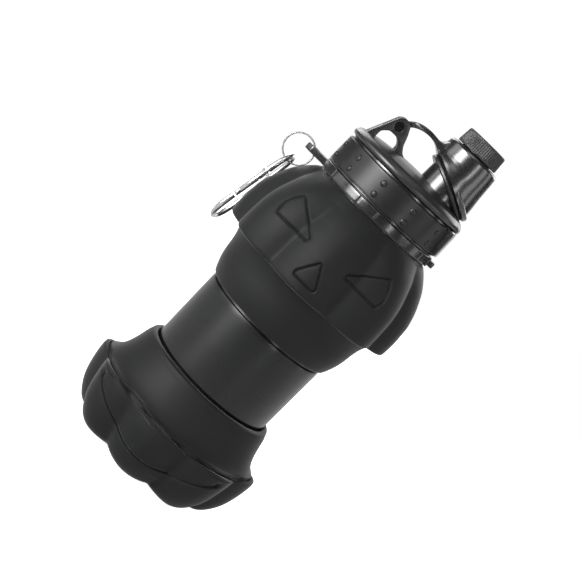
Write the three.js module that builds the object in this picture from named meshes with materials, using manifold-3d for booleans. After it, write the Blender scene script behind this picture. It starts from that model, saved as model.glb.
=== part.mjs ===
// Folding water bottle, in millimetres, +Z up, front towards -Y, origin at the centre of the base.
// A pumpkin-shaped silicone bottle that folds down to about three fifths of its height, with a screw lid,
// a flip-up spout cover, a small screw cap, and a carabiner on a key ring.
import * as THREE from 'three';
import { mergeVertices } from 'three/addons/utils/BufferGeometryUtils.js';
import Module from 'manifold-3d';

const wasm = await Module();
wasm.setup();

// ---------------------------------------------------------------- driving sizes
const GAP = 0.3;
const LOBED_STEPS = 48;
const TURNED_STEPS = 40;
const SMALL_STEPS = 28;
const LOBES = 8;
const FACE_DEPTH = 0.9;

const BOWL_RIM_Z = 30.4;
const SHELL_BASE_Z = 117.5;
const NECK_BOTTOM_Z = 155.4;
const RING_BOTTOM_Z = 162.8;
const RING_TOP_Z = 167.7;
const NECK_TOP_Z = 183.5;
const NECK_BORE_R = 27.5;
const NECK_WALL_R = 29.8;
const NECK_FOOT_R = 31.2;
const RING_R = 33.4;

const COLLAR_TOP_Z = 184.0;
const COLLAR_BORE_R = 31.0;
const COLLAR_CORE_R = 31.9;
const GRIP_R = 33.2;
const STRIP_R = 35.2;
const STRIP_ANGLE = 38;
const DOT_R = 1.3;
const DOT_COLUMNS = 10;
const DOT_ROWS_Z = [171.9, 178.3];

const LID_YAW = 12;
const LID_TOP_BASE_Z = 184.3;
const LUG_THICK = 7.0;
const LUG_SLOT = 3.0;
const PIVOT_X = -20.5;
const PIVOT_Z = 200.8;
const EYE_R = 3.4;
const PIN_R = 1.5;

const SPOUT_X = 15.7;
const SEAT_X = 16.75;
const SEAT_Z = 196.6;
const SEAT_TILT = 26.5;
const SEAT_RX = 17.6;
const SEAT_RY = 16.2;
const DRINK_BORE_R = 9.0;
const COVER_TOP_Z = 215.3;
const CAP_BOTTOM_Z = 216.0;
const CAP_TOP_Z = 224.0;
const CAP_NECK_R = 8.4;
const CAP_NECK_TOP_Z = 221.2;

const TAB_TOP_Z = 166.6;
const TAB_BOTTOM_Z = 163.4;
const TAB_END_X = -45.2;
const TAB_HOLE_X = -40.6;
const TAB_HOLE_R = 2.3;
const KEY_RING_X = -46.6;
const KEY_RING_Z = 160.6;
const KEY_RING_R = 7.7;
const KEY_WIRE_R = 0.5;
const HOOK_WIRE_R = 1.2;
const HOOK_TILT = 9.8;
const HOOK_X = -47;
const HOOK_YAW = 9;
const HOOK_OFFSET = -3;
const HOOK_RISE = 1.0;
const GATE_R = 1.45;
const GATE_PIN_R = 0.55;

// ---------------------------------------------------------------- finishes
function finish(color, roughness, metalness) {
  return new THREE.MeshStandardMaterial({ color, roughness, metalness });
}
const SILICONE = finish(0x34363a, 0.7, 0.0);
const TUBE_SILICONE = finish(0x3b3d41, 0.55, 0.0);
const GLOSS = finish(0x2c2e32, 0.25, 0.0);
const SATIN = finish(0x3f4145, 0.5, 0.0);
const RUBBER = finish(0x1c1d1f, 0.8, 0.0);
const CHROME = finish(0xc9cbce, 0.18, 1.0);

const group = new THREE.Group();
group.name = 'folding_water_bottle';

// ---------------------------------------------------------------- helpers
function toSolid(geometry) {
  const plain = geometry.clone();
  plain.deleteAttribute('normal');
  plain.deleteAttribute('uv');
  const merged = mergeVertices(plain, 1e-4);
  return new wasm.Manifold(new wasm.Mesh({
    numProp: 3,
    vertProperties: new Float32Array(merged.attributes.position.array),
    triVerts: new Uint32Array(merged.index.array),
  }));
}

function addPart(name, solid, material) {
  const data = solid.getMesh();
  const geometry = new THREE.BufferGeometry();
  geometry.setAttribute('position', new THREE.BufferAttribute(new Float32Array(data.vertProperties), 3));
  geometry.setIndex(new THREE.BufferAttribute(new Uint32Array(data.triVerts), 1));
  geometry.computeVertexNormals();
  const mesh = new THREE.Mesh(geometry, material);
  mesh.name = name;
  group.add(mesh);
}

// How far into a groove an angle is: 0 on the crest of a lobe, 1 at the bottom of a groove.
function grooveShare(angle) {
  const turns = (angle / (2 * Math.PI)) * LOBES;
  const fromCrest = Math.abs(turns - Math.round(turns)) * 2;
  return fromCrest * fromCrest;
}

// Sweeps a profile around Z. Each point is [r, z] or [r, z, inward, upward]; the last two
// say how far the point moves at the bottom of a groove. The profile runs up the outside
// and down the inside; if it starts and ends on the axis, it closes there.
function sweep(profile, steps) {
  const onAxis = profile[0][0] === 0;
  const ring = onAxis ? profile.slice(1, -1) : profile;
  const count = ring.length;
  const points = [];
  const faces = [];
  for (let step = 0; step < steps; step += 1) {
    const angle = (step / steps) * 2 * Math.PI;
    const share = grooveShare(angle);
    for (const [r, z, inward = 0, upward = 0] of ring) {
      const radius = r - inward * share;
      points.push(radius * Math.cos(angle), radius * Math.sin(angle), z + upward * share);
    }
  }
  const last = onAxis ? count - 1 : count;
  for (let step = 0; step < steps; step += 1) {
    const here = step * count;
    const next = ((step + 1) % steps) * count;
    for (let i = 0; i < last; i += 1) {
      const up = (i + 1) % count;
      faces.push(here + i, next + i, next + up);
      faces.push(here + i, next + up, here + up);
    }
  }
  if (onAxis) {
    const low = points.length / 3;
    points.push(0, 0, profile[0][1]);
    points.push(0, 0, profile[profile.length - 1][1]);
    for (let step = 0; step < steps; step += 1) {
      const here = step * count;
      const next = ((step + 1) % steps) * count;
      faces.push(low, next, here);
      faces.push(low + 1, here + count - 1, next + count - 1);
    }
  }
  const geometry = new THREE.BufferGeometry();
  geometry.setAttribute('position', new THREE.BufferAttribute(new Float32Array(points), 3));
  geometry.setIndex(faces);
  return toSolid(geometry);
}

function disc(radius, low, high, steps) {
  return sweep([[0, low], [radius, low], [radius, high], [0, high]], steps);
}

function ringSolid(inner, outer, low, high, steps) {
  return sweep([[inner, low], [outer, low], [outer, high], [inner, high]], steps);
}

function block(x0, x1, y0, y1, z0, z1) {
  const box = new THREE.BoxGeometry(x1 - x0, y1 - y0, z1 - z0);
  box.translate((x0 + x1) / 2, (y0 + y1) / 2, (z0 + z1) / 2);
  return toSolid(box);
}

// An outline drawn in X and Z, extruded along Y from back to front.
function plate(outline, back, front, curveSegments = 8) {
  const geometry = new THREE.ExtrudeGeometry(outline, {
    depth: back - front, bevelEnabled: false, curveSegments,
  });
  geometry.rotateX(Math.PI / 2);
  geometry.translate(0, back, 0);
  return toSolid(geometry);
}

function polygon(points) {
  return new THREE.Shape(points.map(([x, z]) => new THREE.Vector2(x, z)));
}

function smoothLoop(points, divisions) {
  const curve = new THREE.CatmullRomCurve3(
    points.map(([x, z]) => new THREE.Vector3(x, z, 0)), true, 'centripetal');
  return new THREE.Shape(curve.getPoints(divisions).slice(0, -1).map((p) => new THREE.Vector2(p.x, p.y)));
}

function circleShape(radius, steps) {
  const shape = new THREE.Shape();
  for (let i = 0; i < steps; i += 1) {
    const angle = (i / steps) * 2 * Math.PI;
    const method = i === 0 ? 'moveTo' : 'lineTo';
    shape[method](radius * Math.cos(angle), radius * Math.sin(angle));
  }
  shape.closePath();
  return shape;
}

function wire(points, radius, steps, sides) {
  const path = new THREE.CatmullRomCurve3(
    points.map(([x, y, z]) => new THREE.Vector3(x, y, z)), false, 'centripetal');
  return toSolid(new THREE.ExtrudeGeometry(circleShape(radius, sides), {
    steps, bevelEnabled: false, extrudePath: path,
  }));
}

// A round bar along Y at (x, z).
function crossBar(x, z, radius, y0, y1, steps) {
  return disc(radius, -y1, -y0, steps).rotate([90, 0, 0]).translate([x, 0, z]);
}

// ---------------------------------------------------------------- carved face
const EYE = [[11.7, 138.4], [12.4, 136.6], [20, 136.2], [30.2, 135.7], [31.8, 137.0], [32.0, 141.3],
  [30.4, 145.6], [28.3, 149.2], [26.9, 149.2], [20.5, 144.6]];
const NOSE = [[0.9, 134.4], [6.2, 124.6], [5.8, 123.2], [0, 122.9], [-5.8, 123.2], [-6.2, 124.6],
  [-0.9, 134.4]];
const MOUTH_LOWER = [[0, 11.9], [9, 12.6], [18, 15.0], [26.6, 18.2], [34, 21.9], [37.6, 24.2]];
const MOUTH_UPPER = [[37.4, 25.6], [30, 23.6], [20, 21.3], [9, 19.7], [0, 19.3]];

function mirrored(points) {
  return points.map(([x, z]) => [-x, z]);
}

// Cuts an outline into the front of a body, down to the same distance below its skin everywhere.
function carve(body, outline, inside) {
  const cutter = plate(outline, 0, -70).subtract(inside);
  return body.subtract(cutter);
}

// ---------------------------------------------------------------- lower bowl
const BOWL_OUTSIDE = [
  [24, 0], [31, 0, 0, 1.2], [36.6, 0.1, 1.2, 2.4], [38.9, 0.9, 2.6, 2.4], [40.9, 2.7, 3.6, 2.0],
  [44.1, 6.7, 4.6, 1.2], [46.2, 10.6, 5.0, 0.6], [47.6, 14.5, 5.0, 0], [48.8, 19.5, 5.0, 0],
  [49.6, 24.5, 4.8, 0], [49.8, 27.6, 4.6, 0], [49.3, 29.5, 4.4, 0], [48.2, BOWL_RIM_Z, 4.2, 0],
];
const BOWL_INSIDE = [
  [42.4, BOWL_RIM_Z], [42.4, 28.4], [46.0, 26.2, 4.0, 0], [46.0, 19.5, 4.6, 0], [43.8, 12.0, 4.6, 0],
  [40.6, 7.2, 3.4, 0], [37.0, 4.8, 1.0, 0], [0, 4.8],
];
const bowlCore = sweep([
  [0, 1], ...BOWL_OUTSIDE.slice(2).map(([r, z, inward, upward]) => [r - FACE_DEPTH, z, inward, upward]),
  [0, BOWL_RIM_Z],
], LOBED_STEPS);
const mouth = smoothLoop(
  [...MOUTH_LOWER, ...MOUTH_UPPER, ...mirrored(MOUTH_UPPER.slice(0, -1)).reverse(),
    ...mirrored(MOUTH_LOWER.slice(1)).reverse()], 56);
const bowl = sweep([[0, 0], ...BOWL_OUTSIDE, ...BOWL_INSIDE], LOBED_STEPS);
addPart('lower_bowl', carve(bowl, mouth, bowlCore), SILICONE);

const lowerFold = sweep([
  [42.7, BOWL_RIM_Z + GAP], [45.0, BOWL_RIM_Z + GAP], [43.3, 33.0], [41.4, 37.0],
  [39.3, 44.6], [38.3, 48.4], [37.2, 50.6], [34.5, 51.4], [34.45, 49.0],
  [37.0, 43.4], [39.4, 36.4],
], TURNED_STEPS);
addPart('lower_fold', lowerFold, SILICONE);

// ---------------------------------------------------------------- middle tube
const tube = sweep([
  [32.0, 49.5], [34.1, 49.5], [34.1, 60], [34.4, 88], [34.4, 95.5], [32.0, 95.5],
], TURNED_STEPS);
addPart('middle_tube', tube, TUBE_SILICONE);

// ---------------------------------------------------------------- upper fold and shell
const upperFold = sweep([
  [34.75, 95.6], [34.75, 92.7], [35.3, 92.6], [36.3, 94.6], [37.6, 97.2], [38.8, 101.0],
  [39.9, 108.4], [41.2, 113.4], [42.7, SHELL_BASE_Z - GAP],
  [40.4, SHELL_BASE_Z - GAP], [38.1, 109.4], [36.7, 100.6],
], TURNED_STEPS);
addPart('upper_fold', upperFold, SILICONE);

const SHELL_OUTSIDE = [
  [48.2, SHELL_BASE_Z, 4.2, 0], [49.4, 118.4, 4.4, 0], [50.0, 120.4, 4.6, 0], [50.2, 126.0, 5.0, 0],
  [49.8, 131.7, 5.0, 0], [48.9, 136.6, 4.8, 0], [47.2, 142.4, 4.4, 0], [45.0, 147.6, 3.8, 0],
  [42.0, 153.0, 2.8, 0], [38.9, 157.0, 1.7, 0], [36.6, 159.4, 0.8, 0], [34.6, 161.0, 0.3, 0],
  [33.0, 162.4],
];
const SHELL_INSIDE = [
  [31.6, 162.4], [31.6, 158.3], [35.0, 157.2, 0.2, 0], [39.2, 152.6, 2.2, 0], [43.4, 145.6, 3.6, 0],
  [46.2, 137.0, 4.4, 0], [47.4, 129.0, 4.6, 0], [47.4, 122.4, 4.4, 0], [40.2, 120.4],
  [40.2, SHELL_BASE_Z],
];
const shellCore = sweep([
  [0, SHELL_BASE_Z],
  ...SHELL_OUTSIDE.map(([r, z, inward = 0, upward = 0]) => [r - FACE_DEPTH, z, inward, upward]),
  [0, 162.4],
], LOBED_STEPS);
let shell = sweep([...SHELL_OUTSIDE, ...SHELL_INSIDE], LOBED_STEPS);
for (const outline of [EYE, mirrored(EYE).reverse(), NOSE]) {
  shell = carve(shell, smoothLoop(outline, 28), shellCore);
}
addPart('upper_shell', shell, SILICONE);

// ---------------------------------------------------------------- neck insert, carry ring with its tabs
addPart('neck_insert', sweep([
  [NECK_BORE_R, NECK_BOTTOM_Z], [33.0, NECK_BOTTOM_Z], [33.0, 156.6], [NECK_FOOT_R, 157.4],
  [NECK_FOOT_R, RING_TOP_Z - GAP], [NECK_WALL_R, RING_TOP_Z - GAP],
  [NECK_WALL_R, NECK_TOP_Z], [NECK_BORE_R, NECK_TOP_Z],
], TURNED_STEPS), GLOSS);

let band = ringSolid(NECK_FOOT_R + GAP, RING_R, RING_BOTTOM_Z, RING_TOP_Z, TURNED_STEPS);
const tabEndR = 4.4;
const tabRound = disc(tabEndR, TAB_BOTTOM_Z, TAB_TOP_Z, 20).translate([TAB_END_X + tabEndR, 0, 0]);
band = band.add(block(TAB_END_X + tabEndR, -32.5, -tabEndR, tabEndR, TAB_BOTTOM_Z, TAB_TOP_Z));
band = band.add(tabRound);
band = band.add(block(32.5, 37.2, -4.5, 4.5, 164.0, TAB_TOP_Z));
band = band.subtract(disc(TAB_HOLE_R, 160, 170, 20).translate([TAB_HOLE_X, 0, 0]));
addPart('carry_ring', band, GLOSS);

// ---------------------------------------------------------------- lid collar and grip band
function wedge(halfAngle, radius, low, high) {
  const half = THREE.MathUtils.degToRad(halfAngle);
  const points = [new THREE.Vector2(0, 0)];
  for (let i = 0; i <= 4; i += 1) {
    const angle = -half + (i / 4) * 2 * half;
    points.push(new THREE.Vector2(radius * Math.cos(angle), radius * Math.sin(angle)));
  }
  const geometry = new THREE.ExtrudeGeometry(new THREE.Shape(points), {
    depth: high - low, bevelEnabled: false,
  });
  geometry.translate(0, 0, low);
  return toSolid(geometry);
}

const stripRing = sweep([
  [COLLAR_CORE_R - 0.4, 168.4], [STRIP_R, 168.4], [STRIP_R + 0.1, 170], [STRIP_R - 0.5, 181.4],
  [STRIP_R - 1.2, 182.9], [COLLAR_CORE_R - 0.4, 182.9],
], TURNED_STEPS);
let collar = sweep([
  [COLLAR_BORE_R, RING_TOP_Z + GAP], [33.3, RING_TOP_Z + GAP], [33.3, 168.8],
  [COLLAR_CORE_R, 168.8], [COLLAR_CORE_R, COLLAR_TOP_Z], [COLLAR_BORE_R, COLLAR_TOP_Z],
], TURNED_STEPS);
collar = collar.add(stripRing.intersect(wedge(STRIP_ANGLE / 2, 40, 160, 190)));
addPart('lid_collar', collar, GLOSS);

const stripClear = STRIP_ANGLE / 2 + 0.6;
let grip = sweep([
  [COLLAR_CORE_R + GAP, 169.1], [GRIP_R, 169.1], [GRIP_R, 182.2], [GRIP_R - 0.6, 182.9],
  [COLLAR_CORE_R + GAP, 182.9],
], TURNED_STEPS).subtract(wedge(stripClear, 45, 160, 190));
const dotPitch = (360 - STRIP_ANGLE) / DOT_COLUMNS;
for (let column = 0; column < DOT_COLUMNS; column += 1) {
  const angle = STRIP_ANGLE / 2 + (column + 0.5) * dotPitch;
  for (const height of DOT_ROWS_Z) {
    grip = grip.add(disc(DOT_R, 32.7, GRIP_R + 0.5, 8)
      .rotate([0, 90, 0]).translate([0, 0, height]).rotate([0, 0, angle]));
  }
}
addPart('grip_band', grip, SATIN);

addPart('lid_gasket', ringSolid(27.8, 30.6, 183.8, 185.6, TURNED_STEPS), RUBBER);

// ---------------------------------------------------------------- lid top, lug and spout seat
// The lid top is drawn with its lug towards -X and its spout towards +X, then turned. The lug is a
// moulding of its own that stands on the dome on two feet.
function seatDisc(rx, ry, low, high) {
  return disc(1, low, high, TURNED_STEPS).scale([rx, ry, 1])
    .rotate([0, SEAT_TILT, 0]).translate([SEAT_X, 0, SEAT_Z]);
}
function onLid(solid) {
  return solid.rotate([0, 0, LID_YAW]);
}

const lidPlate = sweep([
  [0, 186.0], [26.0, 186.0], [26.0, 184.6], [27.4, 184.6], [27.4, 186.0], [31.0, 186.0],
  [31.0, LID_TOP_BASE_Z], [32.8, LID_TOP_BASE_Z], [33.8, 185.3], [33.7, 186.4], [32.3, 188.2],
  [30.4, 189.0], [20, 191.0], [9, 192.0], [0, 192.3],
], TURNED_STEPS);

const lugOutline = polygon([
  [-30.2, 187.6], [-23.4, 203.0], [-22.6, 204.6], [-21.3, 205.5], [-19.2, 205.6], [-16.6, 204.6],
  [-15.2, 202.6], [-13.8, 199.4], [-12.2, 195.2], [-10.8, 193.2], [-8.4, 191.9], [-8.4, 189.4],
]);
const lugHole = smoothLoop([
  [-25.8, 190.0], [-25.0, 193.8], [-23.2, 195.9], [-20.0, 196.5], [-17.0, 195.9], [-15.4, 193.8],
  [-15.2, 190.6], [-20, 190.4],
], 24);
const half = LUG_THICK / 2;
let lug = plate(lugOutline, half, -half).subtract(plate(lugHole, half + 1, -half - 1));
lug = lug.subtract(lidPlate.translate([0, 0, 0.1]));
const slotHalf = LUG_SLOT / 2;
const slotCut = crossBar(PIVOT_X, PIVOT_Z, EYE_R + 0.35, -slotHalf, slotHalf, SMALL_STEPS)
  .add(block(-40, 0, -slotHalf, slotHalf, PIVOT_Z - 0.6, 220))
  .add(block(-40, PIVOT_X, -slotHalf, slotHalf, PIVOT_Z - EYE_R - 0.4, 220));
lug = lug.subtract(slotCut);

const seatPlane = seatDisc(60, 60, -0.45, 60);
let seat = disc(12.1, 189.0, 215, TURNED_STEPS).translate([SPOUT_X, 0, 0]);
seat = seat.subtract(seatPlane).add(seatDisc(SEAT_RX - 0.5, SEAT_RY - 0.4, -2.4, -0.45)
  .intersect(disc(40, 191.6, 260, 4)));
const drinkBore = disc(DRINK_BORE_R, 180, 215, SMALL_STEPS).translate([SPOUT_X, 0, 0]);
addPart('lid_top', onLid(lidPlate.add(seat).subtract(drinkBore)), SATIN);

lug = lug.subtract(crossBar(PIVOT_X, PIVOT_Z, PIN_R + 0.05, -5, 5, 20));
for (const side of [-1, 1]) {
  const mouthY = side * half;
  lug = lug.subtract(crossBar(PIVOT_X, PIVOT_Z, 2.3,
    Math.min(mouthY - side * 0.7, mouthY + side), Math.max(mouthY - side * 0.7, mouthY + side), 20));
}
addPart('lanyard_lug', onLid(lug), SATIN);

let pin = crossBar(PIVOT_X, PIVOT_Z, PIN_R, -half + 0.4, half - 0.4, 20);
for (const side of [-1, 1]) {
  const inner = side * (half - 0.65);
  const outer = side * (half - 0.15);
  pin = pin.add(crossBar(PIVOT_X, PIVOT_Z, 2.1, Math.min(inner, outer), Math.max(inner, outer), 20));
}
addPart('hinge_pin', onLid(pin), RUBBER);

// ---------------------------------------------------------------- flip-up spout cover
const COVER_OUTSIDE = [
  [16.6, 184], [16.2, 193.4], [15.3, 201.4], [14.9, 206.3], [14.5, 210.6], [13.9, 212.8],
  [12.7, 214.3], [10.6, COVER_TOP_Z],
];
const coverSkin = sweep([[0, 184], ...COVER_OUTSIDE, [0, COVER_TOP_Z]], TURNED_STEPS);
const coverHollow = sweep([
  [0, 180], [14.0, 184], [13.6, 193.4], [12.9, 206.3], [12.4, 210.4], [11.0, 212.6], [0, 213.1],
], SMALL_STEPS);
const armOutline = polygon([
  [-22.4, 203.6], [-19.2, 206.0], [-16.2, 207.7], [-12.8, 209.1], [-8.0, 209.6], [-4.4, 209.4],
  [-1.4, 209.5], [0.6, 211.0], [3.2, 212.6], [3.2, 203.6], [0.8, 204.8], [-2.2, 206.2],
  [-4.8, 207.0], [-8.0, 207.2], [-12.0, 206.4], [-15.0, 204.9], [-17.3, 202.6],
]);
const armWide = plate(armOutline, 4.2, -4.2).intersect(block(-13.6, 4, -10, 10, 190, 230));
const eyeHalf = slotHalf - GAP;
const armNarrow = plate(armOutline, eyeHalf, -eyeHalf);
const armEye = crossBar(PIVOT_X, PIVOT_Z, EYE_R, -eyeHalf, eyeHalf, 24)
  .add(plate(polygon([[-23.4, 202.6], [-17.2, 202.2], [-16.4, 205.4], [-22.2, 204.4]]), eyeHalf, -eyeHalf));
const aboveSeat = seatDisc(60, 60, 0.45, 60);
let cover = coverSkin.translate([SPOUT_X, 0, 0]).intersect(aboveSeat);
cover = cover.add(seatDisc(SEAT_RX, SEAT_RY, 0.45, 3.0));
cover = cover.add(armWide).add(armNarrow).add(armEye);
cover = cover.add(disc(CAP_NECK_R, COVER_TOP_Z - 2, CAP_NECK_TOP_Z, SMALL_STEPS).translate([SPOUT_X, 0, 0]));
cover = cover.subtract(coverHollow.translate([SPOUT_X, 0, 0]));
cover = cover.subtract(disc(6.6, 200, 230, SMALL_STEPS).translate([SPOUT_X, 0, 0]));
cover = cover.subtract(crossBar(PIVOT_X, PIVOT_Z, PIN_R + 0.08, -5, 5, 20));
addPart('flip_cover', onLid(cover), GLOSS);

const seal = seatDisc(15.6, 14.6, -0.2, 0.2).subtract(seatDisc(13.2, 12.4, -1, 1));
addPart('spout_seal', onLid(seal), RUBBER);

// ---------------------------------------------------------------- screw cap
const cap = sweep([
  [0, 222.6], [9.0, 222.6], [9.0, CAP_BOTTOM_Z], [11.4, CAP_BOTTOM_Z], [11.5, 217.0],
  [11.0, 223.4], [10.4, CAP_TOP_Z], [0, CAP_TOP_Z],
], SMALL_STEPS + 8);
addPart('screw_cap', onLid(cap.translate([SPOUT_X, 0, 0])), SATIN);
addPart('cap_liner', onLid(disc(8.6, 221.5, 222.3, SMALL_STEPS).translate([SPOUT_X, 0, 0])), RUBBER);

// ---------------------------------------------------------------- key ring and carabiner
const keyProfile = [];
for (let i = 0; i < 6; i += 1) {
  const angle = -Math.PI / 2 + (i / 6) * 2 * Math.PI;
  keyProfile.push([KEY_RING_R + KEY_WIRE_R * Math.cos(angle), KEY_WIRE_R * Math.sin(angle)]);
}
const keyRing = sweep(keyProfile, TURNED_STEPS).rotate([90, 0, 0]).translate([KEY_RING_X, 0, KEY_RING_Z]);
addPart('key_ring', keyRing, CHROME);

// The carabiner is drawn in X and Z with its gate towards +X and its top at the origin. It is
// slid along its bow, turned edge-on, leaned outwards and hung from the bottom of the key ring.
const hookTopZ = KEY_RING_Z - KEY_RING_R + KEY_WIRE_R + 0.2 + HOOK_WIRE_R;
function onRing(solid) {
  return solid.translate([HOOK_OFFSET, 0, HOOK_RISE]).rotate([0, 0, -90 - HOOK_YAW])
    .rotate([0, HOOK_TILT, 0]).translate([HOOK_X, 0, hookTopZ]);
}
const hookPath = [
  [7.4, 0, -12.2], [7.0, 0, -8.0], [5.2, 0, -2.6], [1.6, 0, -0.2], [-2.4, 0, -0.3], [-5.6, 0, -3.2],
  [-7.0, 0, -8.0], [-7.8, 0, -18.0], [-8.6, 0, -30.0], [-8.9, 0, -38.0], [-7.4, 0, -43.4],
  [-3.4, 0, -46.6], [1.2, 0, -47.0], [5.8, 0, -44.8], [8.4, 0, -40.4], [8.7, 0, -36.0],
  [8.5, 0, -32.2],
];
let hook = wire(hookPath, HOOK_WIRE_R, 44, 8);
hook = hook.add(block(6.4, 8.6, -0.6, 0.6, -15.6, -11.4));
hook = hook.subtract(crossBar(7.5, -14.0, GATE_PIN_R + 0.05, -3, 3, 12));
addPart('carabiner_body', onRing(hook), CHROME);

let gate = disc(GATE_R, -31.6, -12.9, 16).rotate([0, -2.9, 0]).translate([6.9, 0, 0]);
gate = gate.subtract(block(4, 11, -0.9, 0.9, -16.2, -11));
gate = gate.subtract(crossBar(7.5, -14.0, GATE_PIN_R + 0.05, -3, 3, 12));
addPart('carabiner_gate', onRing(gate), CHROME);
addPart('gate_pin', onRing(crossBar(7.5, -14.0, GATE_PIN_R, -1.7, 1.7, 12)), CHROME);

export default group;
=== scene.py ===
import json
import math

import bmesh
import bpy
import numpy as np
from mathutils import Matrix, Vector


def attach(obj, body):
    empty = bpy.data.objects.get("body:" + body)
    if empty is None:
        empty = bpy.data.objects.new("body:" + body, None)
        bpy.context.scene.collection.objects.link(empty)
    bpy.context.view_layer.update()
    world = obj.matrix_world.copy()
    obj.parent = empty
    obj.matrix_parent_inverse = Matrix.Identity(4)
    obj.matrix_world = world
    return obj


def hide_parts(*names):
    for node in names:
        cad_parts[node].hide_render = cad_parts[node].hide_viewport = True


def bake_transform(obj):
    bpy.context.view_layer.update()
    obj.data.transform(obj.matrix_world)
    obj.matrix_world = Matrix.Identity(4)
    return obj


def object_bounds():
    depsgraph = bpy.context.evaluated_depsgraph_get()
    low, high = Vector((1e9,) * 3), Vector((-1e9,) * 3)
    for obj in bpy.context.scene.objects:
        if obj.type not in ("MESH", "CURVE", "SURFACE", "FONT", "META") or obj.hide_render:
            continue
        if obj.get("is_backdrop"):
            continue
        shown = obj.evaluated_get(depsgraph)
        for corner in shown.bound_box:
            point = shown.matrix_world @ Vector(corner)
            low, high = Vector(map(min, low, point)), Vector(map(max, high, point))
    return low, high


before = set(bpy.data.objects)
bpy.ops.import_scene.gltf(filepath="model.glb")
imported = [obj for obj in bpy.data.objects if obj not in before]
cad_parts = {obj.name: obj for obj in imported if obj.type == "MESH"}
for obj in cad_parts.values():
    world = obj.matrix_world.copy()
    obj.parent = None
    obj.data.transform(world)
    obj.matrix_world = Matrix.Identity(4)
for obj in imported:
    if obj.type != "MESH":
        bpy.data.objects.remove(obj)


def plain_bounds():
    return json.loads(json.dumps(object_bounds(), default=list))


sizes = {"at_load": plain_bounds()}
scene = bpy.context.scene

# ------------------------------------------------------------------ camera
MM = 0.001                      # metres in a millimetre
VIEW_WIDTH = 276.08             # what the view takes in across at the bottle's axis, in millimetres
CAM_DIST = 666.4
CAM_Z = 206.8
AIM_Z = 109.7
CAM_AZ = math.radians(1.2)
CAM_SIDE = -3.0
AXIS_LEAN = math.radians(45.6)  # how far the bottle's axis leans over in the view
SENSOR_WIDTH = 36


def place_camera():
    data = bpy.data.cameras.new("camera")
    cam = bpy.data.objects.new("camera", data)
    scene.collection.objects.link(cam)
    right0 = Vector((math.cos(CAM_AZ), math.sin(CAM_AZ), 0))
    eye = Vector((CAM_DIST * math.sin(CAM_AZ), -CAM_DIST * math.cos(CAM_AZ), CAM_Z)) + right0 * CAM_SIDE
    aim = Vector((0, 0, AIM_Z)) + right0 * CAM_SIDE
    forward = (aim - eye).normalized()
    up0 = right0.cross(forward)
    roll = math.pi / 2 - AXIS_LEAN
    x = up0 * math.sin(roll) + right0 * math.cos(roll)
    y = up0 * math.cos(roll) - right0 * math.sin(roll)
    turn = Matrix((x, y, -forward)).transposed().to_4x4()
    cam.matrix_world = Matrix.Translation(eye * MM) @ turn
    data.sensor_width = SENSOR_WIDTH
    data.lens = (aim - eye).length / VIEW_WIDTH * SENSOR_WIDTH
    data.clip_start = 0.01
    data.clip_end = 20
    scene.camera = cam


place_camera()


# ------------------------------------------------------------------ materials
NOISE_ROUGHNESS = 0.6
NOISE_LOW, NOISE_HIGH = 0.3, 0.7    # the part of the noise's range that is spread over low to high


def principled(name, color, roughness, metallic=0.0, **extra):
    mat = bpy.data.materials.new(name)
    mat.use_nodes = True
    shader = mat.node_tree.nodes["Principled BSDF"]
    shader.inputs["Base Color"].default_value = (*color, 1)
    shader.inputs["Roughness"].default_value = roughness
    shader.inputs["Metallic"].default_value = metallic
    for key, value in extra.items():
        shader.inputs[key.replace("_", " ")].default_value = value
    return mat, shader


def add_noise(mat, scale, detail):
    nodes, links = mat.node_tree.nodes, mat.node_tree.links
    coord = nodes.new("ShaderNodeTexCoord")
    noise = nodes.new("ShaderNodeTexNoise")
    noise.inputs["Scale"].default_value = scale
    noise.inputs["Detail"].default_value = detail
    noise.inputs["Roughness"].default_value = NOISE_ROUGHNESS
    links.new(coord.outputs["Object"], noise.inputs["Vector"])
    return noise


def vary(mat, noise, socket, low, high):
    nodes, links = mat.node_tree.nodes, mat.node_tree.links
    remap = nodes.new("ShaderNodeMapRange")
    remap.inputs["From Min"].default_value = NOISE_LOW
    remap.inputs["From Max"].default_value = NOISE_HIGH
    remap.inputs["To Min"].default_value = low
    remap.inputs["To Max"].default_value = high
    links.new(noise.outputs["Fac"], remap.inputs["Value"])
    links.new(remap.outputs["Result"], socket)


def tint(mat, shader, noise, low, high):
    nodes, links = mat.node_tree.nodes, mat.node_tree.links
    ramp = nodes.new("ShaderNodeValToRGB")
    ramp.color_ramp.elements[0].position = NOISE_LOW
    ramp.color_ramp.elements[1].position = NOISE_HIGH
    ramp.color_ramp.elements[0].color = (*low, 1)
    ramp.color_ramp.elements[1].color = (*high, 1)
    links.new(noise.outputs["Fac"], ramp.inputs["Fac"])
    links.new(ramp.outputs["Color"], shader.inputs["Base Color"])


def bump(mat, shader, noises, distance, strength):
    nodes, links = mat.node_tree.nodes, mat.node_tree.links
    normal = None
    for noise, share in noises:
        node = nodes.new("ShaderNodeBump")
        node.inputs["Distance"].default_value = distance * share
        node.inputs["Strength"].default_value = strength
        links.new(noise.outputs["Fac"], node.inputs["Height"])
        if normal is not None:
            links.new(normal, node.inputs["Normal"])
        normal = node.outputs["Normal"]
    links.new(normal, shader.inputs["Normal"])


def silicone(name, low, high, rough_low, rough_high, grain, shine, bloom):
    mat, shader = principled(name, high, rough_high, Specular_IOR_Level=shine,
                             Sheen_Weight=bloom, Sheen_Roughness=0.3)
    broad = add_noise(mat, 22, 3)
    fine = add_noise(mat, 900, 2)
    specks = add_noise(mat, 2600, 1)
    tint(mat, shader, broad, low, high)
    vary(mat, broad, shader.inputs["Roughness"], rough_low, rough_high)
    bump(mat, shader, [(fine, 1.0), (specks, 0.5)], grain, 0.35)
    return mat


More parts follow.
